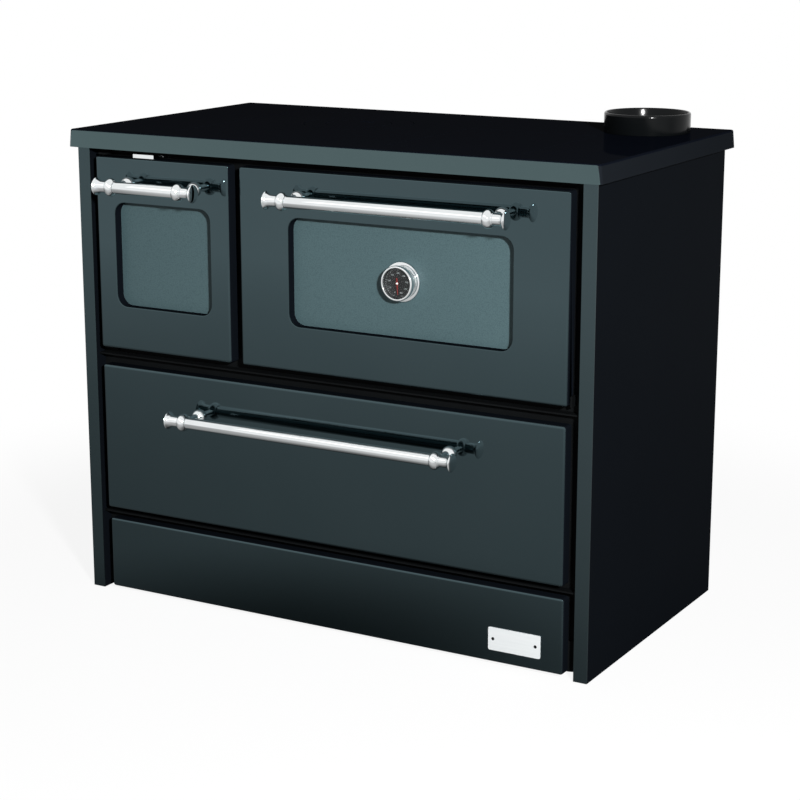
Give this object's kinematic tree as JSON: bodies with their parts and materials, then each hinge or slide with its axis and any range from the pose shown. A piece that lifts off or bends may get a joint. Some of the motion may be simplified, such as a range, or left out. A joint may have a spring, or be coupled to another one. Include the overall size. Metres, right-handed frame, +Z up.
{
  "type": "wood cookstove",
  "caption": "Free-standing wood-burning kitchen range with fire door, oven with thermometer, wood drawer, cast cooking plates and rear flue collar",
  "frame": {"origin": "on the floor, under the middle of the whole range including its handles", "axes": "+X to the right as one faces the range, +Y back into it, away from the doors, +Z up"},
  "size_m": [1.028, 0.6294, 0.885],
  "materials": {
    "enamel_front": "smooth glossy slate enamel",
    "enamel_side": "smooth dark slate enamel",
    "enamel_hob": "polished near-black enamel",
    "enamel_grain": "fine-grained matt grey-green enamel",
    "enamel_oven": "speckled dark oven enamel",
    "frame_black": "matt heat-resistant black",
    "cast_iron": "as cast, blacked",
    "flue_black": "glossy black enamel on cast iron",
    "chrome": "polished chrome",
    "brushed_plate": "brushed",
    "zinc_sheet": "zinc-coated sheet steel",
    "fire_brick": "pressed fire brick",
    "rope_seal": "braided glass-fibre rope",
    "dial_black": "matt black with pale marks",
    "needle_red": "red lacquer",
    "clear_glass": "clear flat glass"
  },
  "bodies": {
    "root": {"side_panel_left": "enamel_side", "side_panel_right": "enamel_side", "back_panel": "zinc_sheet", "base_pan": "frame_black", "foot_front_left": "zinc_sheet", "foot_front_right": "zinc_sheet", "foot_rear_left": "zinc_sheet", "foot_rear_right": "zinc_sheet", "plinth": "enamel_front", "badge_plate": "brushed_plate", "front_frame": "frame_black", "inner_body": "frame_black", "fire_brick_left": "fire_brick", "fire_brick_right": "fire_brick", "fire_brick_rear": "fire_brick", "grate_bed": "cast_iron", "fire_grate": "cast_iron", "oven_box": "enamel_oven", "fire_hinge_upper": "frame_black", "fire_hinge_lower": "frame_black", "oven_hinge_left": "frame_black", "oven_hinge_right": "frame_black", "fire_door_catch": "frame_black", "oven_door_catch": "frame_black", "drawer_runner_left": "zinc_sheet", "drawer_runner_right": "zinc_sheet", "hob_frame": "enamel_hob", "flue_collar": "flue_black"},
    "fire_door": {"fire_door_panel": "enamel_front", "fire_door_inset": "enamel_grain", "fire_door_liner": "cast_iron", "fire_door_gasket": "rope_seal", "fire_door_handle_bar": "chrome", "fire_door_handle_post_left": "chrome", "fire_door_handle_post_right": "chrome"},
    "oven_door": {"oven_door_panel": "enamel_front", "oven_door_inset": "enamel_grain", "oven_door_liner": "cast_iron", "oven_door_gasket": "rope_seal", "oven_door_handle_bar": "chrome", "oven_door_handle_post_left": "chrome", "oven_door_handle_post_right": "chrome", "thermometer_case": "chrome", "thermometer_dial": "dial_black", "thermometer_glass": "clear_glass"},
    "needle": {"thermometer_needle": "needle_red"},
    "wood_drawer": {"drawer_front": "enamel_front", "drawer_box": "zinc_sheet", "drawer_handle_bar": "chrome", "drawer_handle_post_left": "chrome", "drawer_handle_post_right": "chrome"},
    "ash_pan": {"ash_pan": "zinc_sheet"},
    "oven_tray": {"oven_tray": "enamel_oven"},
    "oven_rack": {"oven_rack": "chrome"},
    "air_slider": {"air_slider": "chrome"},
    "plate_left": {"hob_plate_left": "enamel_hob"},
    "plate_right": {"hob_plate_right": "enamel_hob"},
    "ring": {"hob_ring": "enamel_hob"},
    "lid": {"hob_lid": "enamel_hob"}
  },
  "joints": [
    {"name": "fire_door_hinge", "type": "hinge", "parent": "root", "child": "fire_door", "pos_m": [-0.454, -0.23525, 0.6335], "axis": [0, 0, -1], "range_deg": [0, 90]},
    {"name": "oven_door_hinge", "type": "hinge", "parent": "root", "child": "oven_door", "pos_m": [0.1515, -0.23525, 0.4685], "axis": [1, 0, 0], "range_deg": [0, 90]},
    {"name": "needle_turn", "type": "hinge", "parent": "oven_door", "child": "needle", "pos_m": [0.1515, -0.25235, 0.63275], "axis": [0, 1, 0], "range_deg": [0, 344]},
    {"name": "wood_drawer_slide", "type": "slide", "parent": "root", "child": "wood_drawer", "axis": [0, -1, 0], "range_m": [0, 0.25]},
    {"name": "ash_pan_slide", "type": "slide", "parent": "root", "child": "ash_pan", "axis": [0, -1, 0], "range_m": [0, 0.118]},
    {"name": "oven_tray_slide", "type": "slide", "parent": "root", "child": "oven_tray", "axis": [0, -1, 0], "range_m": [0, 0.1415]},
    {"name": "oven_rack_slide", "type": "slide", "parent": "root", "child": "oven_rack", "axis": [0, -1, 0], "range_m": [0, 0.236]},
    {"name": "air_slide", "type": "slide", "parent": "root", "child": "air_slider", "axis": [1, 0, 0], "range_m": [-0.02, 0.02]},
    {"name": "plate_left_lift", "type": "slide", "parent": "root", "child": "plate_left", "axis": [0, 0, 1], "range_m": [0, 0.1]},
    {"name": "plate_right_lift", "type": "slide", "parent": "root", "child": "plate_right", "axis": [0, 0, 1], "range_m": [0, 0.1]},
    {"name": "ring_lift", "type": "slide", "parent": "plate_left", "child": "ring", "axis": [0, 0, 1], "range_m": [0, 0.1]},
    {"name": "lid_lift", "type": "slide", "parent": "ring", "child": "lid", "axis": [0, 0, 1], "range_m": [0, 0.1]}
  ],
  "couplings": [
    {"joint": "ash_pan_slide", "follows": "fire_door_hinge", "m_per_rad": 0.075},
    {"joint": "oven_tray_slide", "follows": "oven_door_hinge", "m_per_rad": 0.09},
    {"joint": "oven_rack_slide", "follows": "oven_door_hinge", "m_per_rad": 0.15}
  ]
}
